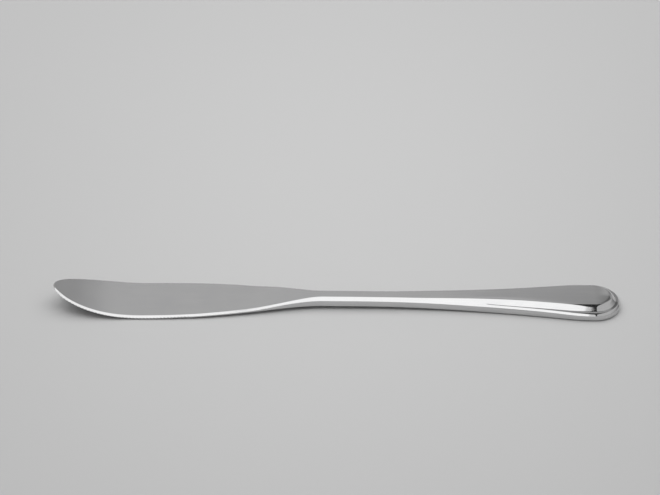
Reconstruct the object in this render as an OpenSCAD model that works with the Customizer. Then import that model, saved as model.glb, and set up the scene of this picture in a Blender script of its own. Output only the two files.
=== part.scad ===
// Grapefruit knife, all of polished steel: a leaf-shaped blade with an upturned tip and a
// row of fine teeth, let into the neck of a solid panelled handle and brazed there.
// X runs from the blade tip to the end of the handle, the cutting edge is on -Y, the table is Z = 0.

/* [Overall] */
// Tip of the blade to the end of the handle
overall_length = 200; // [180:1:240]
// Tip of the blade to the joint face in the neck
blade_length = 98; // [88:1:118]

/* [Blade] */
// Widest part of the leaf, from edge to back
blade_width = 21.1; // [17:0.1:26]
// Length of the rounded tip, from the point to full width
tip_round = 25; // [18:0.5:29]
// Length of the edge that keeps the leaf's full width
edge_straight = 4.5; // [1:0.5:8]
// The same along the back, which stays full for longer
back_straight = 9; // [1:0.5:12]
// How softly the edge turns in to the neck after that
edge_fullness = 36; // [25:0.5:44]
// The same along the back
back_fullness = 42; // [25:0.5:46]
// How softly the leaf runs out into the neck
leaf_runout = 14; // [6:0.5:18]
// Slim run of blade between the leaf and the joint face
blade_stem = 2.7; // [1:0.1:6]
// Thickness of the leaf where the heel starts
blade_thickness = 1.2; // [0.9:0.05:1.8]
// Thickness at the point
tip_thickness = 0.75; // [0.65:0.05:1.1]
// Height of the underside of the point above the table
tip_rise = 6.7; // [3:0.1:10]
// Point to the place where the belly touches the table
belly_from_tip = 32; // [26:1:38]
// Length over which the flat leaf thickens into the neck
heel_length = 28; // [22:1:36]

/* [Cutting edge] */
// Width of the ground bevel at the belly
bevel_width = 1; // [0.6:0.1:1.6]
// Share of that width left towards the heel
bevel_taper = 0.7; // [0.5:0.05:1]
// Length over which the bevel narrows to that share
taper_length = 20; // [10:1:30]
// Thickness left along the cutting edge
edge_land = 0.06; // [0.04:0.01:0.16]
// Height of the cutting edge above the underside of the leaf
relief_rise = 0.26; // [0.06:0.02:0.32]
// Width of the relief ground under the edge
relief_run = 1.2; // [0.8:0.1:2]
// Length of the point over which the bevel fades out
bevel_fade = 5; // [3:0.5:8]
// Spacing of the teeth along the edge
tooth_pitch = 1.2; // [0.9:0.1:2]
// Depth of the hollows between the teeth
tooth_depth = 0.2; // [0.1:0.02:0.36]
// Plain edge before the first tooth, measured round the point
tooth_start = 3.6; // [2.4:0.1:8]
// Number of teeth
tooth_count = 42; // [20:1:50]
// Easing of the corners along the back of the blade
back_ease = 0.28; // [0.1:0.02:0.32]

/* [Neck] */
// Width of the neck
neck_width = 6.4; // [5.2:0.1:8]
// Thickness of the neck
neck_thickness = 3.3; // [2.6:0.1:4]
// Width of the sloping shoulder along each side of the neck
shoulder_run = 1.4; // [0.8:0.05:1.6]
// Drop of that shoulder
shoulder_drop = 1; // [0.5:0.05:1.2]
// How late the shoulder opens along the heel of the blade: 1 opens with the thickness
shoulder_delay = 4; // [1:0.5:6]
// Chamfer along the underside of the neck
neck_chamfer = 0.2; // [0.1:0.05:0.6]
// Height of the underside of the neck above the table
neck_arch = 0.8; // [0.4:0.1:2]
// Joint face to the start of the crest of that arch
crest_from_joint = 14; // [10:0.5:24]
// Length of that crest
crest_length = 20; // [10:1:30]

/* [Handle] */
// Width of the rounded end
handle_width = 19.1; // [16:0.1:24]
// Joint face to the start of the flare
flare_from_joint = 14; // [8:1:24]
// How late the flare opens: 1 is a straight taper
flare_power = 2; // [1.4:0.05:2.4]
// Length over which the flare eases into the rounded end
flare_ease = 10; // [4:1:16]
// Length of the flat back that lies on the table
rest_length = 34; // [24:1:44]
// Height of the rim where the groove starts
rim_height = 2.9; // [2.5:0.1:3.3]
// Height of the rim round the end
end_rim_height = 2.5; // [2.2:0.1:3]
// Width of the bevel outside the rim
rim_bevel = 0.68; // [0.4:0.02:1]
// Drop of that bevel where the groove starts
rim_drop = 0.65; // [0.4:0.05:1]
// Drop of that bevel round the end
end_drop = 0.85; // [0.5:0.05:1.2]
// Width of the land of the rim where the groove starts
rim_start = 0.3; // [0.1:0.05:0.6]
// Width of that land round the end
rim_land = 1.1; // [0.6:0.05:1.6]
// Rise of that land towards the panel, where it is widest
rim_lift = 0.25; // [0:0.05:0.4]
// End of the handle to the place where the groove beside the panel starts
groove_from_end = 53; // [40:1:60]
// Length over which the groove deepens
groove_fade = 12; // [6:1:20]
// Joint face to the place where the shoulder starts to widen into the side of the panel
panel_from_joint = 27; // [18:1:36]
// Length over which it widens
panel_blend = 45; // [25:1:60]
// Height of the raised panel at its edge
panel_height = 4.5; // [3.9:0.05:5.2]
// The same round the end
end_panel_height = 4.45; // [3.8:0.05:5]
// Width of the sloping side of the panel
panel_slope = 1.75; // [1.2:0.05:2.2]
// The same round the end
end_slope = 1.55; // [1:0.05:2]
// Easing of the upper edge of the panel round the end
brow_ease = 0.8; // [0.2:0.05:0.9]
// Length of the straight side over which that easing fades out
brow_fade = 12; // [4:1:16]
// Crown of the panel across its width
panel_crown = 0.22; // [0.05:0.01:0.4]
// Chamfer along the underside of the rounded end
base_chamfer = 0.15; // [0.05:0.05:0.4]

/* [Joint] */
// Length of the tang behind the joint face
tang_length = 14; // [8:1:20]
// Width of the tang
tang_width = 3.2; // [2.4:0.1:3.9]
// Thickness of the tang
tang_thickness = 1.3; // [1:0.05:1.5]
// Thickness of the braze round the tang
braze_gap = 0.1; // [0.06:0.01:0.15]

/* [Hidden] */

blade_color = [0.78, 0.79, 0.80];
handle_color = [0.74, 0.74, 0.75];
braze_color = [0.80, 0.74, 0.58];

// Places along the knife
x_tip = -overall_length / 2;
x_end = overall_length / 2;
x_joint = x_tip + blade_length;
x_belly = x_tip + belly_from_tip;
x_leaf = x_tip + tip_round;
x_stem = x_joint - blade_stem;
x_heel = x_stem - heel_length;
x_crest = x_joint - crest_from_joint;
x_crest_end = x_crest + crest_length;
x_rest = x_end - rest_length;
x_flare = x_joint + flare_from_joint;
x_groove = x_end - groove_from_end;
x_panel = x_joint + panel_from_joint;
end_radius = handle_width / 2;
x_centre = x_end - end_radius;

half_blade = blade_width / 2;
half_neck = neck_width / 2;
tip_bend = (pow(belly_from_tip, 2) + pow(tip_rise, 2)) / (2 * tip_rise);

// Fineness of the lofts
tip_steps = 120;
leaf_steps = 90;
plain_step = 2.2;
tooth_steps = 4;
neck_steps = 12;
flare_steps = 48;
arc_steps = 22;

// Small helpers
function mix(a, b, t) = a + (b - a) * t;
function ease(t) = let (u = min(max(t, 0), 1)) u * u * (3 - 2 * u);
function bezier(a, b, c, d, t) =
    pow(1 - t, 3) * a + 3 * pow(1 - t, 2) * t * b + 3 * (1 - t) * pow(t, 2) * c + pow(t, 3) * d;
function unit(v) = v / norm(v);

// Height of the underside above the table: flat handle, arched neck, belly, upturned tip
function under(x) =
    x > x_crest_end ? neck_arch * ease((x_rest - x) / (x_rest - x_crest_end))
    : x > x_belly ? neck_arch * ease((x - x_belly) / (x_crest - x_belly))
    : tip_bend - sqrt(pow(tip_bend, 2) - pow(x_belly - x, 2));

// Share of the neck in the section of the blade: 0 on the leaf, 1 at the stem
function heel(x) = ease((x - x_heel) / heel_length);
function leaf_thickness(x) = mix(tip_thickness, blade_thickness, min((x - x_tip) / (x_heel - x_tip), 1));
function blade_thick(x) = mix(leaf_thickness(x), neck_thickness, heel(x));
function blade_top(x) = under(x) + blade_thick(x);

// Outline of one side of the blade in plan, from the point to the joint face: [x, half width]
function blade_outline(straight, fullness) = concat(
    [
        for (i = [0 : tip_steps])
        let (a = 90 * i / tip_steps)
        [x_tip + tip_round * (1 - cos(a)), half_blade * sin(a)]
    ],
    [
        for (i = [0 : leaf_steps])
        bezier([x_leaf + straight, half_blade], [x_leaf + straight + fullness, half_blade],
               [x_stem - leaf_runout, half_neck], [x_stem, half_neck], i / leaf_steps)
    ],
    [[x_joint, half_neck]]
);

// The same outline with the distance run along it, so that teeth can be spaced evenly: [run, x, half width]
function measured(outline) = [
    for (i = 0, run = 0; i < len(outline);
         i = i + 1, run = run + (i < len(outline) ? norm(outline[i] - outline[i - 1]) : 0))
    [run, outline[i][0], outline[i][1]]
];
edge_line = measured(blade_outline(edge_straight, edge_fullness));
back_line = measured(blade_outline(back_straight, back_fullness));
edge_length = edge_line[len(edge_line) - 1][0];

function point_at(line, run) =
    [lookup(run, [for (p = line) [p[0], p[1]]]), lookup(run, [for (p = line) [p[0], p[2]]])];
function run_at(line, x) = lookup(x, [for (p = line) [p[1], p[0]]]);

// Direction from an outline into the blade
normal_reach = 0.25;
function inward(line, run) =
    let (
        longest = line[len(line) - 1][0],
        ahead = point_at(line, min(run + normal_reach, longest)),
        behind = point_at(line, max(run - normal_reach, 0)),
        d = unit(ahead - behind)
    )
    [d[1], -d[0]];

// Stations along the edge: fine over the teeth, coarse over the plain heel
first_run = 0.6;
teeth_end = tooth_start + tooth_count * tooth_pitch;
plain_count = ceil((edge_length - teeth_end) / plain_step);
edge_stations = concat(
    [for (s = [first_run : tooth_pitch / 2 : tooth_start - tooth_pitch / 4]) s],
    [for (i = [0 : tooth_count * tooth_steps]) tooth_start + i * tooth_pitch / tooth_steps],
    [for (i = [1 : plain_count]) mix(teeth_end, edge_length, i / plain_count)]
);

// Hollow between two teeth: a shallow scallop with its points on the edge line. The last teeth fade out.
fading_teeth = 3;
function tooth_cut(s) =
    s < tooth_start || s > teeth_end ? 0
    : let (u = (s - tooth_start) / tooth_pitch, f = u - floor(u))
      tooth_depth * 4 * f * (1 - f) * ease((teeth_end - s) / (fading_teeth * tooth_pitch));

// One side of the blade's section, from the underside up to the top face: side is -1 for the edge, 1 for the back.
// relief and low set the foot, high and slope the bevel, cut the depth of the hollow between two teeth.
top_face = -1;
function blade_side(line, run, side, relief, low, high, slope, cut) =
    let (
        foot = point_at(line, run),
        n = inward(line, run),
        bevel_foot = mix(high, blade_thick(foot[0]), cut / slope)
    )
    [
        for (p = [[relief, 0], [cut, low * (1 - cut / relief)], [cut, bevel_foot], [slope, top_face]])
        let (q = foot + n * p[0])
        [q[0], side * max(q[1], 0), p[1] == top_face ? blade_top(q[0]) : under(q[0]) + p[1]]
    ];

// Closed section at a place along the edge: underside, cutting edge, top face, back
blade_wall_foot = 2;
function blade_section(run) =
    let (
        x = point_at(edge_line, run)[0],
        h = heel(x),
        opened = pow(h, shoulder_delay),
        thick = blade_thick(x),
        eased = thick - back_ease,
        wall = neck_thickness - shoulder_drop,
        bevel = ease(run / bevel_fade),
        ground = mix(1, bevel_taper, ease((x - x_belly) / taper_length)),
        edge_top = mix(thick, relief_rise + edge_land, ground),
        edge = blade_side(
            edge_line, run, -1,
            mix(mix(back_ease, relief_run, bevel), neck_chamfer, h),
            mix(mix(back_ease, relief_rise * ground, bevel), neck_chamfer, h),
            mix(mix(eased, edge_top, bevel), wall, h),
            mix(mix(back_ease, bevel_width * ground, bevel), shoulder_run, opened),
            tooth_cut(run)
        ),
        back = blade_side(
            back_line, run_at(back_line, x), 1,
            mix(back_ease, neck_chamfer, h),
            mix(back_ease, neck_chamfer, h),
            mix(eased, wall, h),
            mix(back_ease, shoulder_run, opened),
            0
        )
    )
    concat(
        [[x, 0, under(x)]],
        edge,
        [[x, 0, blade_top(x)]],
        [for (i = [len(back) - 1 : -1 : 0]) back[i]]
    );

// Solid through a list of closed sections that run along +X
module loft(sections, wall_foot) {
    count = len(sections[0]);
    last = len(sections) - 1;
    points = [for (section = sections) for (p = section) p];
    sides = [
        for (k = [0 : last - 1])
        for (j = [0 : count - 1])
        let (a = k * count + j, b = k * count + (j + 1) % count)
        each [[a, b, b + count], [a, b + count, a + count]]
    ];
    // Each cap fans out from the foot of its side wall, which lies in line with no other edge
    near_cap = [for (j = [0 : count - 1]) (wall_foot + count - j) % count];
    far_cap = [for (j = [0 : count - 1]) last * count + (wall_foot + j) % count];
    polyhedron(points, concat([near_cap], sides, [far_cap]), convexity = 6);
}

// Half width of the handle, from the neck to the middle of the rounded end, where the sides run parallel
flare_span = x_centre - x_flare;
flare_spread = (end_radius - half_neck) / (1 - flare_ease * flare_power / (2 * flare_span));
flare_slant = flare_spread * flare_power / flare_span;
function handle_half(x) =
    half_neck
    + flare_spread * pow(max(x - x_flare, 0) / flare_span, flare_power)
    - flare_slant * pow(max(x - x_centre + flare_ease, 0), 2) / (2 * flare_ease);
handle_stations = concat(
    [for (i = [0 : neck_steps - 1]) mix(x_joint, x_flare, i / neck_steps)],
    [for (i = [0 : flare_steps]) mix(x_flare, x_centre, i / flare_steps)]
);

// Where each section stands: [foot on the middle line, turn round the end, half width]
handle_plan = concat(
    [for (x = handle_stations) [x, 0, handle_half(x)]],
    [for (i = [1 : arc_steps]) [x_centre, 90 * i / arc_steps, end_radius]]
);
straight_count = len(handle_stations);
plan_count = len(handle_plan);

// Half of the handle's section, from the middle of the back to the middle of the panel: [inset, height].
// On the neck the shoulder is one plain slope; past the groove's start it parts into rim and panel.
crest_share = 0.34;
crease_share = 0.46;
brow_inset = 1 / 6;
crown_share = 2 / 5;
rim_delay = 2;
function handle_profile(p) =
    let (
        half = p[2],
        grown = ease((p[0] - x_flare) / (x_rest - x_flare)),
        along = max(p[0] - x_groove, 0),
        parted = ease(along / groove_fade),
        widened = ease(pow(along / (x_centre - x_groove), rim_delay)),
        swell = ease((p[0] - x_panel) / panel_blend),
        softened = brow_ease * ease(1 - (x_centre - p[0]) / brow_fade),
        base = mix(neck_chamfer, base_chamfer, grown),
        rim_top = mix(rim_height, end_rim_height, widened),
        rim_foot = rim_top - mix(rim_drop, end_drop, widened),
        land = mix(rim_start, rim_land, widened),
        rim = rim_bevel + land,
        slope = mix(shoulder_run, rim + mix(panel_slope, end_slope, widened), swell),
        top = mix(neck_thickness, mix(panel_height, end_panel_height, widened), grown),
        foot = [0, mix(neck_thickness - shoulder_drop, rim_foot, grown)],
        brow = [slope, top],
        crest = mix(mix(foot, brow, crest_share), [rim_bevel, rim_top], parted),
        crease = mix(mix(foot, brow, crease_share), [rim, rim_top + rim_lift * land / rim_land], parted),
        soft = softened / norm(brow - crease),
        soft_share = softened / (half - slope)
    )
    concat(
        [
            [half, 0],
            [base, 0],
            [0, base],
            foot,
            crest,
            crease,
            mix(brow, crease, max(soft, brow_inset))
        ],
        [
            for (share = [soft_share, mix(soft_share, 1, crown_share), 1])
            [mix(slope, half, share), top + panel_crown * grown * share * (2 - share)]
        ]
    );

// Points of one side of the handle; side is -1 for the edge side and 1 for the back
function handle_points(p, side) =
    let (lift = under(p[0]))
    [
        for (q = handle_profile(p))
        let (reach = p[2] - q[0])
        [p[0] + reach * sin(p[1]), side * reach * cos(p[1]), lift + q[1]]
    ];

handle_wall_foot = 2;
module handle_body() {
    count = len(handle_profile(handle_plan[0]));
    tip = plan_count - 1;
    points = concat(
        [for (p = handle_plan) each handle_points(p, -1)],
        [for (i = [tip - 1 : -1 : 0]) each handle_points(handle_plan[i], 1)]
    );
    // Both sides share the points on the middle line
    function middle(i) = min(min(i, 2 * tip - i), straight_count - 1);
    function at(i, j) = (j == 0 || j == count - 1 ? middle(i) : i) * count + j;
    sides = [
        for (i = [0 : 2 * tip - 1])
        for (j = [0 : count - 2])
        each [
            [at(i, j), at(i, j + 1), at(i + 1, j + 1)],
            [at(i, j), at(i + 1, j + 1), at(i + 1, j)]
        ]
    ];
    skin = [for (t = sides) if (t[0] != t[1] && t[1] != t[2] && t[2] != t[0]) t];
    // The neck face fans out from the foot of its side wall, which lies in line with no other edge
    neck_face = concat(
        [for (j = [handle_wall_foot : -1 : 0]) at(0, j)],
        [for (j = [1 : count - 1]) at(2 * tip, j)],
        [for (j = [count - 2 : -1 : handle_wall_foot + 1]) at(0, j)]
    );
    polyhedron(points, concat(skin, [neck_face]), convexity = 6);
}

// Block centred in the neck that starts at the joint face
neck_middle = under(x_joint) + neck_thickness / 2;
module neck_block(start, finish, wide, high) {
    translate([start, -wide / 2, neck_middle - high / 2])
        cube([finish - start, wide, high]);
}

tang_root = 1.5;
module tang(root = 0) {
    neck_block(x_joint - root, x_joint + tang_length, tang_width, tang_thickness);
}

module mortise(root = 0) {
    neck_block(x_joint - root, x_joint + tang_length + braze_gap,
               tang_width + 2 * braze_gap, tang_thickness + 2 * braze_gap);
}

// Leaf with its bevel, teeth and tang
module blade() {
    color(blade_color)
        union() {
            loft([for (s = edge_stations) blade_section(s)], blade_wall_foot);
            tang(tang_root);
        }
}

// Neck, rim and raised panel, with the mortise for the tang
module handle() {
    color(handle_color)
        difference() {
            handle_body();
            mortise(tang_root);
        }
}

// Thin skin of filler between tang and mortise
module braze() {
    color(braze_color)
        difference() {
            mortise();
            tang(tang_root);
        }
}

blade();
handle();
braze();
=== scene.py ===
"""Looks of the grapefruit knife: smooth polished meshes for its blade and handle, and the studio round them.

The knife lies along X with its tip at -X, its cutting edge on -Y and the table at Z = 0, in metres.
"""

import logging
import math
from collections.abc import Sequence
from dataclasses import dataclass
from enum import Enum
from itertools import accumulate

import bmesh
import bpy
import numpy as np
from mathutils import Matrix, Vector


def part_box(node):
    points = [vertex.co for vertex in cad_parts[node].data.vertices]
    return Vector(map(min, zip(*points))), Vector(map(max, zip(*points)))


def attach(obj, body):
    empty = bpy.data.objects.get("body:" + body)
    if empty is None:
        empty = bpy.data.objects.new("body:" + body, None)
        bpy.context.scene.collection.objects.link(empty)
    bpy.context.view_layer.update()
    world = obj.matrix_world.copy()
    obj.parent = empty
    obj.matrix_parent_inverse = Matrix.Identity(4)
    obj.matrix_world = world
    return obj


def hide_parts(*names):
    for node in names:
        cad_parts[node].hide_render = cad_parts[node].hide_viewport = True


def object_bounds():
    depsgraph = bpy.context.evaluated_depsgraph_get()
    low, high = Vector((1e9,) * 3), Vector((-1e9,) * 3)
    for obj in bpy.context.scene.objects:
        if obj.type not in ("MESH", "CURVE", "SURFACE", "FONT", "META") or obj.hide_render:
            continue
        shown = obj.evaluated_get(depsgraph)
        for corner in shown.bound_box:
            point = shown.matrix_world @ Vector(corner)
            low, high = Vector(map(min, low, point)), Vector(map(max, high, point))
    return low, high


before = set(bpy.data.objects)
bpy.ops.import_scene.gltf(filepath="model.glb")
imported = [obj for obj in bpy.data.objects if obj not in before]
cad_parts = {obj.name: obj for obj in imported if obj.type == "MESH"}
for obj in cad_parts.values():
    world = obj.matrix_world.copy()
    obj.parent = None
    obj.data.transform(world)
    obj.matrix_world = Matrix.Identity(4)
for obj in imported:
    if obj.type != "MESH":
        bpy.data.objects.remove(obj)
cad_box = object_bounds()

log = logging.getLogger("knife")

MM = 0.001
BODY = "root"
MERGE_DISTANCE = 0.0002 * MM
SHARP_ANGLE = math.radians(35)
CORNER_STEPS = 5
CORNER_ROOM = 0.45
CORNER_LEAST = 0.02 * MM
SUPPORT = 0.12 * MM
SUPPORT_SHARE = 0.25
FLAT_POINTS = 3
FACE_POINTS = 7
NOISE_RANGE = (0.35, 0.65)


class Side(Enum):
    """Side of the knife, with the direction of Y that it lies in."""

    EDGE = -1
    BACK = 1


def mix(first: float, second: float, share: float) -> float:
    """Value that lies the given share of the way from first to second."""
    return first + (second - first) * share


def ease(share: float) -> float:
    """Share that starts and ends gently, held between 0 and 1."""
    held = min(max(share, 0.0), 1.0)
    return held * held * (3 - 2 * held)


def fillet(before: Vector, corner: Vector, after: Vector, radius: float) -> list[Vector]:
    """Rounds one corner of a section with an arc.

    Args:
        before: Point that the section comes from.
        corner: Corner to round.
        after: Point that the section goes on to.
        radius: Radius of the arc, which is cut short where a leg is too small for it.

    Returns:
        The points of the arc, always the same number of them.
    """
    back = before - corner
    ahead = after - corner
    turn = math.pi - back.angle(ahead)
    room = CORNER_ROOM * min(back.length, ahead.length)
    setback = min(max(radius * math.tan(turn / 2), CORNER_LEAST), room)
    start = corner + back.normalized() * setback
    end = corner + ahead.normalized() * setback
    weight = math.cos(turn / 2)
    points = []
    for step in range(CORNER_STEPS + 1):
        t = step / CORNER_STEPS
        parts = ((1 - t) ** 2, 2 * weight * t * (1 - t), t * t)
        points.append((start * parts[0] + corner * parts[1] + end * parts[2]) / sum(parts))
    return points


def flat(start: Vector, end: Vector, inner: int) -> list[Vector]:
    """Points along a flat stretch, with one close to each end to hold the shading of the flat.

    Args:
        start: Point where the stretch starts, not repeated.
        end: Point where it ends, not repeated.
        inner: Number of points between the two close ones.

    Returns:
        The points strictly between start and end.
    """
    span = (end - start).length
    near = min(SUPPORT / span, SUPPORT_SHARE) if span > 0 else SUPPORT_SHARE
    shares = [mix(near, 1 - near, step / (inner + 1)) for step in range(inner + 2)]
    return [start.lerp(end, share) for share in shares]


def rounded(corners: Sequence[tuple[Vector, float]], first: Vector, last: Vector) -> list[Vector]:
    """Joins corners into one section, with arcs at the corners and flats between them.

    Args:
        corners: Corners in order, each with its radius.
        first: Point that the section comes from, not part of it.
        last: Point that the section goes on to, not part of it.

    Returns:
        The points of the section, from the first arc to the last.
    """
    places = [first, *(place for place, _ in corners), last]
    points: list[Vector] = []
    for index, (place, radius) in enumerate(corners):
        arc = fillet(places[index], place, places[index + 2], radius)
        if points:
            points += flat(points[-1], arc[0], FLAT_POINTS)
        points += arc
    return points


def drape(rows: Sequence[Sequence[Vector]], marks: Sequence[dict[str, float]] = ()) -> bmesh.types.BMesh:
    """Lays a grid of cells over rows of points and merges the points that meet.

    Args:
        rows: Rows of equal length that the grid follows.
        marks: Named numbers of each row, kept as attributes of its points.

    Returns:
        The mesh, with its seams closed.
    """
    last_row = len(rows) - 1
    last_column = len(rows[0]) - 1
    mesh = bmesh.new()
    bmesh.ops.create_grid(mesh, x_segments=last_column, y_segments=last_row, size=1.0)
    layers = {name: mesh.verts.layers.float.new(name) for name in (marks[0] if marks else ())}
    for vert in mesh.verts:
        row = round((vert.co.y + 1) / 2 * last_row)
        column = round((vert.co.x + 1) / 2 * last_column)
        for name, layer in layers.items():
            vert[layer] = marks[row][name]
        vert.co = rows[row][column]
    bmesh.ops.remove_doubles(mesh, verts=mesh.verts, dist=MERGE_DISTANCE)
    return mesh


def add_joint_block(mesh: bmesh.types.BMesh, wide: float, high: float, deep: float) -> None:
    """Closes the open end of a neck with a flat face and carries a block on from its middle along +X.

    On the blade the block is the tang. On the handle it is the mortise, which runs into the metal.

    Args:
        mesh: Mesh whose one open loop lies in the joint plane.
        wide: Width of the block.
        high: Height of the block.
        deep: Length of the block.
    """
    rim = [edge for edge in mesh.edges if edge.is_boundary]
    heights = [vert.co.z for edge in rim for vert in edge.verts]
    middle = Vector((rim[0].verts[0].co.x, 0, (min(heights) + max(heights)) / 2))
    made = bmesh.ops.extrude_edge_only(mesh, edges=rim)["geom"]
    loop = [item for item in made if isinstance(item, bmesh.types.BMVert)]
    for vert in loop:
        reach = vert.co - middle
        vert.co = middle + reach / max(abs(reach.y) / (wide / 2), abs(reach.z) / (high / 2))
    for y in (-wide / 2, wide / 2):
        for z in (-high / 2, high / 2):
            corner = middle + Vector((0, y, z))
            nearest = min(loop, key=lambda vert: (vert.co - corner).length)
            nearest.co = corner
    rim = [edge for edge in mesh.edges if edge.is_boundary]
    made = bmesh.ops.extrude_edge_only(mesh, edges=rim)["geom"]
    loop = [item for item in made if isinstance(item, bmesh.types.BMVert)]
    bmesh.ops.translate(mesh, verts=loop, vec=(deep, 0, 0))
    bmesh.ops.holes_fill(mesh, edges=[edge for edge in mesh.edges if edge.is_boundary], sides=0)


def finish_piece(mesh: bmesh.types.BMesh, name: str, material: bpy.types.Material) -> bpy.types.Object:
    """Turns a closed mesh into a smooth-shaded object with crisp edges.

    Args:
        mesh: Mesh to use, which is freed.
        name: Name of the piece.
        material: Finish of the piece.

    Returns:
        The object, at the origin.
    """
    bmesh.ops.recalc_face_normals(mesh, faces=mesh.faces)
    for face in mesh.faces:
        face.smooth = True
    for edge in mesh.edges:
        edge.smooth = edge.calc_face_angle(0.0) < SHARP_ANGLE
    data = bpy.data.meshes.new(name)
    mesh.to_mesh(data)
    mesh.free()
    data.materials.append(material)
    piece = bpy.data.objects.new(name, data)
    bpy.context.scene.collection.objects.link(piece)
    return piece


class Wire:
    """Output of a node, with arithmetic that adds Math nodes to its tree."""

    def __init__(self, tree: "NodeBench", socket: bpy.types.NodeSocket) -> None:
        """Keeps the tree that the socket belongs to, and the socket."""
        self.tree = tree
        self.socket = socket

    def math(self, operation: str, *values: "Wire | float") -> "Wire":
        """Adds one Math node.

        Args:
            operation: Name of the operation.
            values: Its inputs, in order.

        Returns:
            The result.
        """
        return self.tree.add("ShaderNodeMath", {"operation": operation}, dict(enumerate(values)))

    def __add__(self, other: "Wire | float") -> "Wire":
        """Sum of two values."""
        return self.math("ADD", self, other)

    def __radd__(self, other: float) -> "Wire":
        """Sum with a number on the left."""
        return self.math("ADD", other, self)

    def __sub__(self, other: "Wire | float") -> "Wire":
        """Difference of two values."""
        return self.math("SUBTRACT", self, other)

    def __rsub__(self, other: float) -> "Wire":
        """Difference from a number on the left."""
        return self.math("SUBTRACT", other, self)

    def __mul__(self, other: "Wire | float") -> "Wire":
        """Product of two values."""
        return self.math("MULTIPLY", self, other)

    def smooth(self, low: float, high: float) -> "Wire":
        """Share from 0 at low to 1 at high that starts and ends gently.

        Args:
            low: Value that gives 0.
            high: Value that gives 1.

        Returns:
            The share.
        """
        settings = {"interpolation_type": "SMOOTHSTEP"}
        inputs = {"Value": self, "From Min": low, "From Max": high}
        return self.tree.add("ShaderNodeMapRange", settings, inputs)


Input = Wire | float | tuple[float, ...]


class NodeBench:
    """Node tree of a material or world, with the one method that adds any node to it."""

    def __init__(self, owner: bpy.types.Material | bpy.types.World) -> None:
        """Empties the owner's tree and keeps it."""
        owner.use_nodes = True
        self.tree = owner.node_tree
        self.tree.nodes.clear()

    def add(self, kind: str, settings: dict[str, object], inputs: dict[str | int, Input],
            output: str | int = 0) -> Wire:
        """Adds a node.

        Args:
            kind: Type of the node.
            settings: Properties to set first.
            inputs: Values or wires of its sockets, by name or number.
            output: Name or number of the output to return.

        Returns:
            That output.
        """
        node = self.tree.nodes.new(kind)
        for key, value in settings.items():
            setattr(node, key, value)
        for key, value in inputs.items():
            if isinstance(value, Wire):
                self.tree.links.new(value.socket, node.inputs[key])
            else:
                node.inputs[key].default_value = value
        return Wire(self, node.outputs[output])

    def place(self) -> Wire:
        """Place on the piece, in its own frame."""
        return self.add("ShaderNodeTexCoord", {}, {}, "Object")

    def axis(self, place: Wire, name: str) -> Wire:
        """One coordinate of a place or direction."""
        return self.add("ShaderNodeSeparateXYZ", {}, {"Vector": place}, name)

    def attribute(self, name: str) -> Wire:
        """Number that the points of the piece carry."""
        return self.add("ShaderNodeAttribute", {"attribute_name": name}, {}, "Fac")

    def ray(self, kind: str) -> Wire:
        """Whether the ray is of the given kind, 1 or 0."""
        return self.add("ShaderNodeLightPath", {}, {}, kind)

    def stretch(self, place: Wire, scale: tuple[float, float, float]) -> Wire:
        """Place with each axis scaled, so that a pattern can run along one of them."""
        return self.add("ShaderNodeMapping", {}, {"Vector": place, "Scale": scale})

    def noise(self, place: Wire, scale: float, detail: float = 2.0) -> Wire:
        """Soft noise between about 0.3 and 0.7, with the given number of features to a metre."""
        return self.add("ShaderNodeTexNoise", {}, {"Vector": place, "Scale": scale, "Detail": detail}, "Fac")

    def streaks(self, along: Wire, scale: float, detail: float = 2.0) -> Wire:
        """Noise along one line only, with the given number of features to a metre."""
        inputs = {"W": along * scale, "Scale": 1.0, "Detail": detail}
        return self.add("ShaderNodeTexNoise", {"noise_dimensions": "1D"}, inputs, "Fac")

    def tint(self, share: Wire, first: tuple[float, ...], second: tuple[float, ...]) -> Wire:
        """Colour that goes from first to second."""
        ends = {"Factor": share, 6: (*first, 1.0), 7: (*second, 1.0)}
        return self.add("ShaderNodeMix", {"data_type": "RGBA"}, ends, 2)

    def bump(self, height: Wire, depth: float, under: Wire | None = None) -> Wire:
        """Surface normal over a relief of the given depth in metres.

        Args:
            height: Height of the relief, as a share of its depth.
            depth: Depth of the relief.
            under: Normal that the relief lies on, if it isn't the surface's own.

        Returns:
            The normal.
        """
        inputs: dict[str | int, Input] = {"Height": height, "Distance": depth, "Strength": 1.0}
        if under is not None:
            inputs["Normal"] = under
        return self.add("ShaderNodeBump", {}, inputs)

    def metal(self, colour: Wire, rough: Wire, normal: Wire) -> None:
        """Finishes the surface as bare metal."""
        inputs = {"Base Color": colour, "Metallic": 1.0, "Roughness": rough, "Normal": normal}
        self.output(self.add("ShaderNodeBsdfPrincipled", {}, inputs))

    def glow(self, colour: Input) -> None:
        """Finishes the surface as one that shines by itself."""
        self.output(self.add("ShaderNodeEmission", {}, {"Color": colour, "Strength": 1.0}))

    def output(self, shader: Wire, kind: str = "ShaderNodeOutputMaterial") -> None:
        """Connects the finished shader."""
        node = self.tree.nodes.new(kind)
        self.tree.links.new(shader.socket, node.inputs["Surface"])


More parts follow.
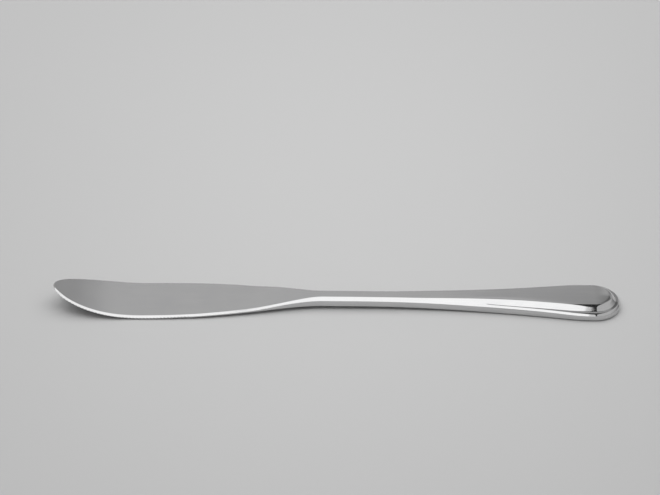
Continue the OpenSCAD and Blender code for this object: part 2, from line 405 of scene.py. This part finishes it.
@dataclass(frozen=True)
class PolishedSteel:
    """Mirror-polished stainless steel with the faint lengthwise lines that a polishing wheel leaves."""

    name: str
    dark: tuple[float, float, float] = (0.615, 0.615, 0.62)
    light: tuple[float, float, float] = (0.65, 0.65, 0.65)
    smoothest: float = 0.05
    roughest: float = 0.11
    detail: float = 3.0
    haze_range: tuple[float, float] = (0.35, 0.7)
    haze_cloud: float = 0.6
    tone_cloud: float = 0.5
    line_scale: tuple[float, float, float] = (30.0, 2600.0, 2600.0)
    cloud_scale: float = 90.0
    sway_scale: float = 160.0
    sway_detail: float = 1.0
    sway_depth: float = 0.004 * MM
    grind_scale: float = 5200.0
    grind_roughness: float = 0.2
    grind_depth: float = 0.006 * MM

    def material(self, ground: bool = False) -> bpy.types.Material:
        """Makes the material.

        Args:
            ground: Whether the piece has a ground edge, marked by its attributes.

        Returns:
            The material.
        """
        material = bpy.data.materials.new(self.name)
        bench = NodeBench(material)
        place = bench.place()
        lines = bench.noise(bench.stretch(place, self.line_scale), 1.0, self.detail)
        cloud = bench.noise(place, self.cloud_scale, self.detail)
        sway = bench.noise(place, self.sway_scale, self.sway_detail)
        haze = (cloud * self.haze_cloud + lines * (1 - self.haze_cloud)).smooth(*self.haze_range)
        tone = (cloud * self.tone_cloud + lines * (1 - self.tone_cloud)).smooth(*NOISE_RANGE)
        rough = haze * (self.roughest - self.smoothest) + self.smoothest
        normal = bench.bump(sway, self.sway_depth)
        if ground:
            share = bench.attribute("ground")
            strokes = bench.streaks(bench.attribute("run"), self.grind_scale)
            rough = rough + share * strokes * self.grind_roughness
            normal = bench.bump(share * strokes, self.grind_depth, normal)
        bench.metal(bench.tint(tone, self.dark, self.light), rough, normal)
        return material


@dataclass(frozen=True)
class BrazeFill:
    """Silver braze as it freezes in a joint: pale, a little grainy and dull."""

    name: str = "braze_fill"
    dark: tuple[float, float, float] = (0.7, 0.63, 0.48)
    light: tuple[float, float, float] = (0.84, 0.79, 0.64)
    grain_scale: float = 2500.0
    grain_detail: float = 4.0
    grain_depth: float = 0.01 * MM
    smoothest: float = 0.3
    roughest: float = 0.55

    def material(self) -> bpy.types.Material:
        """Makes the material."""
        material = bpy.data.materials.new(self.name)
        bench = NodeBench(material)
        grain = bench.noise(bench.place(), self.grain_scale, self.grain_detail)
        colour = bench.tint(grain.smooth(*NOISE_RANGE), self.dark, self.light)
        rough = grain * (self.roughest - self.smoothest) + self.smoothest
        bench.metal(colour, rough, bench.bump(grain, self.grain_depth))
        return material


@dataclass(frozen=True)
class KnifeLine:
    """Heights and places along the knife that blade and handle share."""

    x_tip: float
    x_joint: float
    x_end: float
    tip_rise: float = 6.7 * MM
    belly_from_tip: float = 32 * MM
    neck_arch: float = 0.8 * MM
    crest_from_joint: float = 14 * MM
    crest_length: float = 20 * MM
    rest_length: float = 34 * MM
    neck_width: float = 6.4 * MM
    neck_thickness: float = 3.3 * MM
    shoulder_run: float = 1.4 * MM
    shoulder_drop: float = 1.0 * MM
    shoulder_delay: float = 4.0
    neck_chamfer: float = 0.2 * MM
    neck_round: float = 0.3 * MM
    shoulder_round: float = 0.35 * MM
    shoulder_brow: float = 0.15 * MM
    tang_length: float = 14 * MM
    tang_width: float = 3.2 * MM
    tang_thickness: float = 1.3 * MM
    braze_gap: float = 0.1 * MM

    @classmethod
    def from_frame(cls) -> "KnifeLine":
        """Takes the knife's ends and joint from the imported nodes."""
        low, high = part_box("handle")
        return cls(x_tip=-high.x, x_joint=low.x, x_end=high.x)

    def under(self, x: float) -> float:
        """Height of the underside above the table.

        Args:
            x: Place along the knife.

        Returns:
            Zero at the belly and the flat back, more under the neck and at the tip.
        """
        x_belly = self.x_tip + self.belly_from_tip
        x_crest = self.x_joint - self.crest_from_joint
        x_crest_end = x_crest + self.crest_length
        x_rest = self.x_end - self.rest_length
        if x > x_crest_end:
            return self.neck_arch * ease((x_rest - x) / (x_rest - x_crest_end))
        if x > x_belly:
            return self.neck_arch * ease((x - x_belly) / (x_crest - x_belly))
        bend = (self.belly_from_tip**2 + self.tip_rise**2) / (2 * self.tip_rise)
        return bend - math.sqrt(bend**2 - (x_belly - x) ** 2)


class Outline:
    """One side of the blade in plan, measured along its run from the point."""

    def __init__(self, points: Sequence[tuple[float, float]]) -> None:
        """Measures an outline.

        Args:
            points: Place along the knife and half width of each point.
        """
        self.x = np.array([point[0] for point in points])
        self.half = np.array([point[1] for point in points])
        steps = np.hypot(np.diff(self.x), np.diff(self.half))
        self.run = np.array([0.0, *accumulate(steps)])
        self.heading = np.unwrap(np.arctan2(np.gradient(self.half, self.run), np.gradient(self.x, self.run)))
        self.length = float(self.run[-1])

    def run_at(self, x: float) -> float:
        """Run at a place along the knife."""
        return float(np.interp(x, self.x, self.run))

    def at(self, run: float) -> Vector:
        """Point of the outline at a run."""
        return Vector((np.interp(run, self.run, self.x), np.interp(run, self.run, self.half)))

    def inward(self, run: float) -> Vector:
        """Direction from the outline into the blade at a run."""
        heading = float(np.interp(run, self.run, self.heading))
        return Vector((math.sin(heading), -math.cos(heading)))


@dataclass
class Blade:
    """Leaf-shaped blade with an upturned tip, a ground bevel, a row of fine teeth and a tang."""

    line: KnifeLine
    width: float = 21.1 * MM
    tip_round: float = 25 * MM
    edge_straight: float = 4.5 * MM
    edge_fullness: float = 36 * MM
    back_straight: float = 9 * MM
    back_fullness: float = 42 * MM
    leaf_runout: float = 14 * MM
    stem: float = 2.7 * MM
    thickness: float = 1.2 * MM
    tip_thickness: float = 0.75 * MM
    heel_length: float = 28 * MM
    bevel_width: float = 1.0 * MM
    bevel_brow: float = 0.1 * MM
    edge_land: float = 0.06 * MM
    edge_round: float = 0.02 * MM
    relief_run: float = 1.2 * MM
    relief_rise: float = 0.26 * MM
    bevel_fade: float = 5 * MM
    bevel_taper: float = 0.7
    taper_length: float = 20 * MM
    tooth_pitch: float = 1.2 * MM
    tooth_depth: float = 0.2 * MM
    tooth_start: float = 3.6 * MM
    tooth_count: int = 42
    fading_teeth: int = 3
    back_ease: float = 0.28 * MM
    tip_step: float = 0.3 * MM
    tooth_steps: int = 6
    heel_step: float = 0.7 * MM
    outline_steps: int = 400
    lead: float = 2 * MM

    def __post_init__(self) -> None:
        """Lays out the two sides of the leaf."""
        self.x_stem = self.line.x_joint - self.stem
        self.x_heel = self.x_stem - self.heel_length
        self.outlines = {
            Side.EDGE: self.outline(self.edge_straight, self.edge_fullness),
            Side.BACK: self.outline(self.back_straight, self.back_fullness),
        }
        self.teeth_end = self.tooth_start + self.tooth_count * self.tooth_pitch

    def outline(self, straight: float, fullness: float) -> Outline:
        """Lays out one side of the leaf: a quarter ellipse at the tip and one curve in to the neck.

        Args:
            straight: Length that keeps its full width.
            fullness: How softly the full width turns in after that.

        Returns:
            The outline.
        """
        half = self.width / 2
        half_neck = self.line.neck_width / 2
        x_full = self.line.x_tip + self.tip_round + straight
        points = []
        for step in range(self.outline_steps + 1):
            angle = math.pi / 2 * step / self.outline_steps
            points.append((self.line.x_tip + self.tip_round * (1 - math.cos(angle)), half * math.sin(angle)))
        handles = ((x_full, half), (x_full + fullness, half),
                   (self.x_stem - self.leaf_runout, half_neck), (self.x_stem, half_neck))
        for step in range(self.outline_steps + 1):
            t = step / self.outline_steps
            shares = ((1 - t) ** 3, 3 * (1 - t) ** 2 * t, 3 * (1 - t) * t**2, t**3)
            points.append(tuple(sum(share * handle[axis] for share, handle in zip(shares, handles))
                                for axis in (0, 1)))
        points.append((self.line.x_joint, half_neck))
        return Outline(points)

    def heel(self, x: float) -> float:
        """Share of the neck in the section: 0 on the leaf, 1 at the stem."""
        return ease((x - self.x_heel) / self.heel_length)

    def leaf(self, x: float) -> float:
        """Thickness of the leaf by itself, which grows evenly from the point to the heel."""
        x_tip = self.line.x_tip
        return mix(self.tip_thickness, self.thickness, min((x - x_tip) / (self.x_heel - x_tip), 1.0))

    def thick(self, x: float) -> float:
        """Thickness of the blade at a place along it."""
        return mix(self.leaf(x), self.line.neck_thickness, self.heel(x))

    def hollow(self, run: float) -> float:
        """Depth of the hollow between two teeth at a run along the edge."""
        if not self.tooth_start < run < self.teeth_end:
            return 0.0
        share = (run - self.tooth_start) / self.tooth_pitch % 1
        fade = ease((self.teeth_end - run) / (self.fading_teeth * self.tooth_pitch))
        return self.tooth_depth * 4 * share * (1 - share) * fade

    def side(self, side: Side, run: float) -> list[Vector]:
        """Section of one side of the blade, from its underside up to its top face.

        Args:
            side: Which side.
            run: Place along that side's outline.

        Returns:
            The points of the section.
        """
        outline = self.outlines[side]
        foot = outline.at(run)
        inward = outline.inward(run)
        thick = self.thick(foot.x)
        heel = self.heel(foot.x)
        bevel = ease(run / self.bevel_fade) if side is Side.EDGE else 0.0
        cut = self.hollow(run) if side is Side.EDGE else 0.0
        line = self.line
        wall = line.neck_thickness - line.shoulder_drop
        x_belly = line.x_tip + line.belly_from_tip
        ground = mix(1.0, self.bevel_taper, ease((foot.x - x_belly) / self.taper_length))
        relief = mix(mix(self.back_ease, self.relief_run, bevel), line.neck_chamfer, heel)
        edge_top = mix(thick, self.relief_rise + self.edge_land, ground)
        low = mix(mix(self.back_ease, self.relief_rise * ground, bevel), line.neck_chamfer, heel)
        high = mix(mix(thick - self.back_ease, edge_top, bevel), wall, heel)
        opened = heel**line.shoulder_delay
        slope = mix(mix(self.back_ease, self.bevel_width * ground, bevel), line.shoulder_run, opened)
        low_round = mix(mix(self.back_ease, self.edge_round, bevel), line.neck_round, heel)
        wall_round = mix(mix(self.back_ease, self.edge_round, bevel), line.shoulder_round, heel)
        brow_round = mix(mix(self.back_ease, self.bevel_brow, bevel), line.shoulder_brow, heel)
        corners = [
            (Vector((relief, 0)), low_round),
            (Vector((cut, low * (1 - cut / relief))), low_round),
            (Vector((cut, mix(high, thick, cut / slope))), wall_round),
            (Vector((slope, thick)), brow_round),
        ]
        section = rounded(corners, Vector((relief + self.lead, 0)), Vector((slope + self.lead, thick)))
        points = []
        for inset, height in section:
            spot = foot + inward * inset
            lift = self.line.under(spot.x) + height * self.thick(spot.x) / thick
            points.append(Vector((spot.x, side.value * max(spot.y, 0.0), lift)))
        return points

    def ring(self, run: float) -> list[Vector]:
        """Closed section of the blade at a run along its edge, with its first point repeated at the end."""
        edge = self.side(Side.EDGE, run)
        x = self.outlines[Side.EDGE].at(run).x
        back = self.side(Side.BACK, self.outlines[Side.BACK].run_at(x))
        top = flat(edge[-1], back[-1], FACE_POINTS)
        underside = flat(back[0], edge[0], FACE_POINTS)
        return [*edge, *top, *reversed(back), *underside, edge[0]]

    def runs(self) -> list[float]:
        """Runs along the edge where sections stand: close at the tip and teeth, wider at the heel."""
        length = self.outlines[Side.EDGE].length
        tip = np.arange(0, self.tooth_start - self.tip_step / 2, self.tip_step)
        teeth = np.linspace(self.tooth_start, self.teeth_end, self.tooth_count * self.tooth_steps + 1)
        heel_count = math.ceil((length - self.teeth_end) / self.heel_step)
        heel = np.linspace(self.teeth_end, length, heel_count + 1)[1:]
        return [float(run) for run in (*tip, *teeth, *heel)]

    def build(self, finish: PolishedSteel) -> bpy.types.Object:
        """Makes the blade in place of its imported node.

        Args:
            finish: Steel that it is made of.

        Returns:
            The piece.
        """
        runs = self.runs()
        rows = [self.ring(run) for run in runs]
        marks = []
        for run in runs:
            x = self.outlines[Side.EDGE].at(run).x
            marks.append({"run": run, "ground": 1 - self.heel(x)})
        mesh = drape(rows, marks)
        line = self.line
        add_joint_block(mesh, line.tang_width, line.tang_thickness, line.tang_length)
        piece = finish_piece(mesh, "blade_leaf", finish.material(ground=True))
        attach(piece, BODY)
        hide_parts("blade")
        return piece


@dataclass
class Handle:
    """Solid neck and flaring handle with a rim round its end and a raised panel."""

    line: KnifeLine
    width: float = 19.1 * MM
    flare_from_joint: float = 14 * MM
    flare_power: float = 2.0
    flare_ease: float = 10 * MM
    rim_height: float = 2.9 * MM
    end_rim_height: float = 2.5 * MM
    rim_bevel: float = 0.68 * MM
    rim_drop: float = 0.65 * MM
    end_drop: float = 0.85 * MM
    rim_start: float = 0.3 * MM
    rim_land: float = 1.1 * MM
    rim_lift: float = 0.25 * MM
    rim_delay: float = 2.0
    rim_round: float = 0.6 * MM
    crest_round: float = 0.2 * MM
    end_crest_round: float = 0.7 * MM
    crest_share: float = 0.34
    crease_share: float = 0.46
    crease_round: float = 0.12 * MM
    groove_from_end: float = 53 * MM
    groove_fade: float = 12 * MM
    panel_from_joint: float = 27 * MM
    panel_blend: float = 45 * MM
    panel_height: float = 4.5 * MM
    end_panel_height: float = 4.45 * MM
    panel_slope: float = 1.75 * MM
    end_slope: float = 1.55 * MM
    panel_crown: float = 0.22 * MM
    brow_round: float = 1.9 * MM
    brow_fade: float = 12 * MM
    base_chamfer: float = 0.15 * MM
    base_round: float = 0.25 * MM
    neck_steps: int = 18
    flare_steps: int = 150
    turn_steps: int = 40
    panel_steps: int = 9

    def __post_init__(self) -> None:
        """Works out the places along the handle and the spread of its flare."""
        self.radius = self.width / 2
        self.x_flare = self.line.x_joint + self.flare_from_joint
        self.x_centre = self.line.x_end - self.radius
        self.x_groove = self.line.x_end - self.groove_from_end
        self.x_rest = self.line.x_end - self.line.rest_length
        self.x_panel = self.line.x_joint + self.panel_from_joint
        span = self.x_centre - self.x_flare
        eased = self.flare_ease * self.flare_power / (2 * span)
        self.spread = (self.radius - self.line.neck_width / 2) / (1 - eased)
        self.slant = self.spread * self.flare_power / span

    def half(self, x: float) -> float:
        """Half width at a place from the neck to the middle of the rounded end."""
        share = max(x - self.x_flare, 0.0) / (self.x_centre - self.x_flare)
        late = max(x - self.x_centre + self.flare_ease, 0.0)
        easing = self.slant * late**2 / (2 * self.flare_ease)
        return self.line.neck_width / 2 + self.spread * share**self.flare_power - easing

    def section(self, x: float) -> list[Vector]:
        """Half of the handle's section, from the middle of its back to the middle of the panel.

        Args:
            x: Place along the knife that the section stands on.

        Returns:
            Points given as distance from the outline and height.
        """
        line = self.line
        half = self.half(x)
        grown = ease((x - self.x_flare) / (self.x_rest - self.x_flare))
        along = max(x - self.x_groove, 0.0)
        parted = ease(along / self.groove_fade)
        widened = ease((along / (self.x_centre - self.x_groove)) ** self.rim_delay)
        rim_top = mix(self.rim_height, self.end_rim_height, widened)
        rim_foot = rim_top - mix(self.rim_drop, self.end_drop, widened)
        land = mix(self.rim_start, self.rim_land, widened)
        rim = self.rim_bevel + land
        rim_inside = rim_top + self.rim_lift * land / self.rim_land
        swell = ease((x - self.x_panel) / self.panel_blend)
        slope = mix(line.shoulder_run, rim + mix(self.panel_slope, self.end_slope, widened), swell)
        top = mix(line.neck_thickness, mix(self.panel_height, self.end_panel_height, widened), grown)
        wall = Vector((0, mix(line.neck_thickness - line.shoulder_drop, rim_foot, grown)))
        brow = Vector((slope, top))
        crest = wall.lerp(brow, self.crest_share).lerp(Vector((self.rim_bevel, rim_top)), parted)
        crease = wall.lerp(brow, self.crease_share).lerp(Vector((rim, rim_inside)), parted)
        softened = ease(1 - (self.x_centre - x) / self.brow_fade)
        base = mix(line.neck_chamfer, self.base_chamfer, grown)
        base_round = mix(line.neck_round, self.base_round, grown)
        crown = self.panel_crown * grown
        across = half - slope
        corners = [
            (Vector((base, 0)), base_round),
            (Vector((0, base)), base_round),
            (wall, mix(line.shoulder_round, self.rim_round, parted)),
            (crest, mix(self.crest_round, self.end_crest_round, softened)),
            (crease, self.crease_round),
            (brow, mix(line.shoulder_brow, self.brow_round, softened)),
        ]
        ahead = brow + Vector((across, 2 * crown))
        points = rounded(corners, Vector((half, 0)), ahead)
        start = points[-1].x
        panel = []
        for step in range(1, self.panel_steps + 1):
            inset = mix(start, half, step / self.panel_steps)
            share = (inset - slope) / across
            panel.append(Vector((inset, top + crown * share * (2 - share))))
        middle = Vector((half, 0))
        return [middle, *flat(middle, points[0], FLAT_POINTS), *points, *panel]

    def row(self, x: float, turn: float, side: Side) -> list[Vector]:
        """Places the section that stands at x and turn on one side of the handle.

        Args:
            x: Place along the knife that the section stands on.
            turn: Turn round the end, from 0 on the straight sides to a quarter turn at the very end.
            side: Which side.

        Returns:
            The points of the section in the knife's frame.
        """
        half = self.half(x)
        lift = self.line.under(x)
        points = []
        for inset, height in self.section(x):
            reach = half - inset
            y = side.value * reach * math.cos(turn)
            points.append(Vector((x + reach * math.sin(turn), y, lift + height)))
        return points

    def build(self, finish: PolishedSteel) -> bpy.types.Object:
        """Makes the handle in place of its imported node.

        Args:
            finish: Steel that it is made of.

        Returns:
            The piece.
        """
        neck = np.linspace(self.line.x_joint, self.x_flare, self.neck_steps, endpoint=False)
        flare = np.linspace(self.x_flare, self.x_centre, self.flare_steps + 1)
        turns = np.linspace(0, math.pi / 2, self.turn_steps + 1)[1:]
        stands = [(float(x), 0.0) for x in (*neck, *flare)] + [(self.x_centre, float(turn)) for turn in turns]
        rows = [self.row(x, turn, Side.EDGE) for x, turn in stands]
        rows += [self.row(x, turn, Side.BACK) for x, turn in reversed(stands[:-1])]
        mesh = drape(rows)
        line = self.line
        add_joint_block(mesh, line.tang_width + 2 * line.braze_gap, line.tang_thickness + 2 * line.braze_gap,
                        line.tang_length + line.braze_gap)
        piece = finish_piece(mesh, "handle_body", finish.material())
        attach(piece, BODY)
        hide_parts("handle")
        return piece


@dataclass(frozen=True)
class PhotoCamera:
    """Camera at the photograph's place. Pixels are those of a picture 660 wide and 495 high."""

    picture_width: float = 660.0
    picture_height: float = 495.0
    focal_pixels: float = 2000.0
    origin_across: float = 336.95
    origin_down: float = 303.21
    pixels_per_metre: float = 2825.0
    elevation: float = math.radians(35.474)
    turn: float = math.radians(0.72)
    sensor_width: float = 36.0

    def build(self) -> bpy.types.Object:
        """Makes the scene's camera."""
        across = (self.origin_across - self.picture_width / 2) / self.focal_pixels
        down = (self.origin_down - self.picture_height / 2) / self.focal_pixels
        pitch = self.elevation - math.atan(down)
        distance = self.focal_pixels / self.pixels_per_metre
        right = Vector((math.cos(self.turn), math.sin(self.turn), 0))
        level = Vector((-math.sin(self.turn), math.cos(self.turn), 0))
        up = level * math.sin(pitch) + Vector((0, 0, math.cos(pitch)))
        ahead = level * math.cos(pitch) - Vector((0, 0, math.sin(pitch)))
        place = -(right * across - up * down + ahead) * distance
        data = bpy.data.cameras.new("photo_camera")
        data.sensor_width = self.sensor_width
        data.lens = self.sensor_width * self.focal_pixels / self.picture_width
        camera = bpy.data.objects.new("photo_camera", data)
        turned = Matrix((right, up, -ahead)).transposed().to_4x4()
        camera.matrix_world = Matrix.Translation(place) @ turned
        bpy.context.scene.collection.objects.link(camera)
        bpy.context.scene.camera = camera
        return camera


def stage_card(mesh: bmesh.types.BMesh, name: str, material: bpy.types.Material) -> bpy.types.Object:
    """Turns a mesh into a card of the studio that only reflections show.

    Args:
        mesh: Mesh to use, which is freed.
        name: Name of the card.
        material: Finish of the card.

    Returns:
        The card.
    """
    card = finish_piece(mesh, name, material)
    card.visible_camera = False
    card.visible_diffuse = False
    card.visible_shadow = False
    return card


@dataclass(frozen=True)
class BackCard:
    """Glowing grey card behind the knife that only reflections show, with the level of each shade of its glow
    and the places between which they change.

    It is light on the left and falls to dark on the right in two steps, then grows paler again far out.
    The first step ends higher up on the left. A lighter area low on the right is a painted glint, which the
    blade's tip mirrors. The top of the card has a shade of its own.
    """

    distance: float = 1.6
    width: float = 3.84
    height: float = 3.5
    light: float = 0.56
    middle: float = 0.46
    dark: float = 0.1
    far: float = 0.24
    upper: float = 0.4
    painted_glint: float = 0.2
    light_to_middle: tuple[float, float] = (0.02, 0.2)
    middle_to_dark: tuple[float, float] = (0.2, 0.74)
    dark_to_far: tuple[float, float] = (0.8, 1.2)
    lower_to_upper: tuple[float, float] = (1.75, 2.2)
    step_ends_above: tuple[float, float] = (1.4, 1.75)
    step_goes_on_right: tuple[float, float] = (0.26, 0.38)
    painted_glint_starts: tuple[float, float] = (0.36, 0.46)
    painted_glint_ends_above: tuple[float, float] = (1.08, 1.16)

    def build(self) -> bpy.types.Object:
        """Stands the card on the floor."""
        mesh = bmesh.new()
        bmesh.ops.create_grid(mesh, x_segments=1, y_segments=1, size=0.5)
        bmesh.ops.scale(mesh, verts=mesh.verts, vec=(self.width, self.height, 1.0))
        bmesh.ops.rotate(mesh, verts=mesh.verts, matrix=Matrix.Rotation(math.pi / 2, 3, "X"))
        bmesh.ops.translate(mesh, verts=mesh.verts, vec=(0, self.distance, self.height / 2))
        material = bpy.data.materials.new("card_glow_for_reflections")
        bench = NodeBench(material)
        across = bench.axis(bench.place(), "X")
        up = bench.axis(bench.place(), "Z")
        # painted reflections: the card glows in these shades, and only the steel's reflections show it
        ended = up.smooth(*self.step_ends_above) * (1.0 - across.smooth(*self.step_goes_on_right))
        first = across.smooth(*self.light_to_middle) * (1.0 - ended) * (self.light - self.middle)
        second = across.smooth(*self.middle_to_dark) * (self.middle - self.dark)
        # painted glint: a lighter area low on the right, for the blade's tip to mirror
        low = 1.0 - up.smooth(*self.painted_glint_ends_above)
        painted_glint = across.smooth(*self.painted_glint_starts) * low * self.painted_glint
        paler = across.smooth(*self.dark_to_far) * (self.far - self.dark)
        lower = self.light - first - second + painted_glint + paler
        bench.glow(lower + (self.upper - lower) * up.smooth(*self.lower_to_upper))
        return stage_card(mesh, "back_card", material)


@dataclass(frozen=True)
class Flag:
    """Black flag overhead on the right that glows faintly and only reflections show: a painted dark
    reflection in the end of the handle.
    """

    height: float = 0.9
    level: float = 0.03
    corners: tuple[tuple[float, float], ...] = (
        (0.2, -1.15), (0.36, -1.15), (0.36, -0.2), (0.52, 0.5), (0.12, 0.42))

    def build(self) -> bpy.types.Object:
        """Hangs the flag."""
        mesh = bmesh.new()
        bmesh.ops.create_circle(mesh, cap_ends=True, segments=len(self.corners), radius=1.0)
        for vert, corner in zip(mesh.verts, self.corners):
            vert.co = (*corner, self.height)
        # painted reflection: a faint glow that the handle's end mirrors as a dark band
        material = bpy.data.materials.new("flag_faint_glow")
        NodeBench(material).glow((self.level, self.level, self.level, 1.0))
        return stage_card(mesh, "flag", material)


@dataclass(frozen=True)
class Studio:
    """Pale floor with a painted pool of light, surroundings, two lights overhead and the glowing cards that
    the steel mirrors.
    """

    floor_size: float = 4.0
    floor_cells: int = 8
    floor_drop: float = 0.22 * MM
    # painted light: the floor's colour is paler in a painted pool of light round the knife and darker
    # outwards
    floor_in_painted_pool: tuple[float, float, float] = (0.66, 0.66, 0.66)
    floor_past_painted_pool: tuple[float, float, float] = (0.56, 0.56, 0.56)
    floor_roughness: float = 0.9
    painted_pool_place: tuple[float, float] = (0.0, 0.03)
    painted_pool_size: tuple[float, float] = (0.14, 0.24)
    painted_pool_fade: tuple[float, float] = (0.0, 1.6)
    box_place: tuple[float, float, float] = (-0.434, -0.594, 0.89)
    box_size: tuple[float, float] = (1.2, 1.68)
    box_turn: float = math.radians(12)
    box_level: float = 0.81
    key_place: tuple[float, float, float] = (0.0, 0.5, 0.9)
    key_size: tuple[float, float] = (2.2, 1.6)
    key_level: float = 1.19
    ambient: float = 0.29
    surround: float = 0.56
    walls: float = 0.6
    horizon: float = 0.26
    horizon_rise: tuple[float, float] = (0.0, 0.5)

    def floor(self) -> bpy.types.Object:
        """Lays the floor, with a painted pool of light that makes it a little paler round the knife."""
        mesh = bmesh.new()
        cells = self.floor_cells
        bmesh.ops.create_grid(mesh, x_segments=cells, y_segments=cells, size=self.floor_size / 2)
        bmesh.ops.translate(mesh, verts=mesh.verts, vec=(0, 0, cad_box[0].z - self.floor_drop))
        material = bpy.data.materials.new("floor_paper_painted_pool")
        bench = NodeBench(material)
        # painted light: a pool of light painted into the floor's colour, paler in its middle and darker
        # outwards
        scale = (1 / self.painted_pool_size[0], 1 / self.painted_pool_size[1], 0.0)
        shift = (-self.painted_pool_place[0] * scale[0], -self.painted_pool_place[1] * scale[1], 0.0)
        mapping = {"Vector": bench.place(), "Location": shift, "Scale": scale}
        spot = bench.add("ShaderNodeMapping", {}, mapping)
        painted_pool_distance = bench.add("ShaderNodeVectorMath", {"operation": "LENGTH"}, {0: spot}, "Value")
        colour = bench.tint(painted_pool_distance.smooth(*self.painted_pool_fade), self.floor_in_painted_pool, self.floor_past_painted_pool)
        finish = {"Base Color": colour, "Roughness": self.floor_roughness}
        bench.output(bench.add("ShaderNodeBsdfPrincipled", {}, finish))
        floor = finish_piece(mesh, "floor", material)
        return floor

    def world(self) -> None:
        """Sets the pale surroundings, which the steel mirrors darker towards the horizon."""
        world = bpy.data.worlds.new("studio")
        bpy.context.scene.world = world
        bench = NodeBench(world)
        glossy = bench.ray("Is Glossy Ray")
        shown = bench.ray("Is Camera Ray") + bench.ray("Is Transmission Ray")
        other = 1 - shown - glossy
        direction = bench.add("ShaderNodeTexCoord", {}, {}, "Generated")
        rise = bench.axis(direction, "Z").smooth(*self.horizon_rise)
        walls = self.horizon + rise * (self.walls - self.horizon)
        level = shown * self.surround + glossy * walls + other * self.ambient
        sky = bench.add("ShaderNodeBackground", {}, {"Color": (1.0, 1.0, 1.0, 1.0), "Strength": level})
        bench.output(sky, "ShaderNodeOutputWorld")

    def lamp(self, name: str, place: tuple[float, float, float], size: tuple[float, float], level: float,
             mirrored: bool) -> bpy.types.Object:
        """Hangs a soft lamp that faces the floor.

        Args:
            name: Name of the lamp.
            place: Its middle.
            size: Its width and depth.
            level: Brightness of its face.
            mirrored: Whether only reflections show it. If not, it only lights the floor.

        Returns:
            The lamp.
        """
        data = bpy.data.lights.new(name, "AREA")
        data.shape = "RECTANGLE"
        data.size, data.size_y = size
        data.energy = level * math.pi * data.size * data.size_y
        lamp = bpy.data.objects.new(name, data)
        lamp.location = place
        lamp.visible_camera = False
        lamp.visible_glossy = mirrored
        lamp.visible_diffuse = not mirrored
        bpy.context.scene.collection.objects.link(lamp)
        return lamp

    def build(self) -> None:
        """Sets up the whole studio."""
        self.floor()
        self.world()
        box = self.lamp("light_box", self.box_place, self.box_size, self.box_level, True)
        box.rotation_euler.z = self.box_turn
        self.lamp("key_light", self.key_place, self.key_size, self.key_level, False)
        BackCard().build()
        Flag().build()


def dress_braze(finish: BrazeFill) -> bpy.types.Object:
    """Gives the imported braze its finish.

    Args:
        finish: Braze that fills the joint.

    Returns:
        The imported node's object.
    """
    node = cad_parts["braze"]
    node.data.materials.clear()
    node.data.materials.append(finish.material())
    return node


def main() -> None:
    """Builds the studio, the camera and the pieces in order."""
    logging.basicConfig(level=logging.INFO, format="%(name)s: %(message)s")
    bpy.context.scene.view_settings.view_transform = "Standard"
    PhotoCamera().build()
    Studio().build()
    line = KnifeLine.from_frame()
    pieces = [
        Blade(line).build(PolishedSteel("blade_polish")),
        Handle(line).build(PolishedSteel("handle_polish")),
        dress_braze(BrazeFill()),
    ]
    for piece in pieces:
        log.info("%s: %d faces", piece.name, len(piece.data.polygons))


if __name__ == "__main__":
    main()
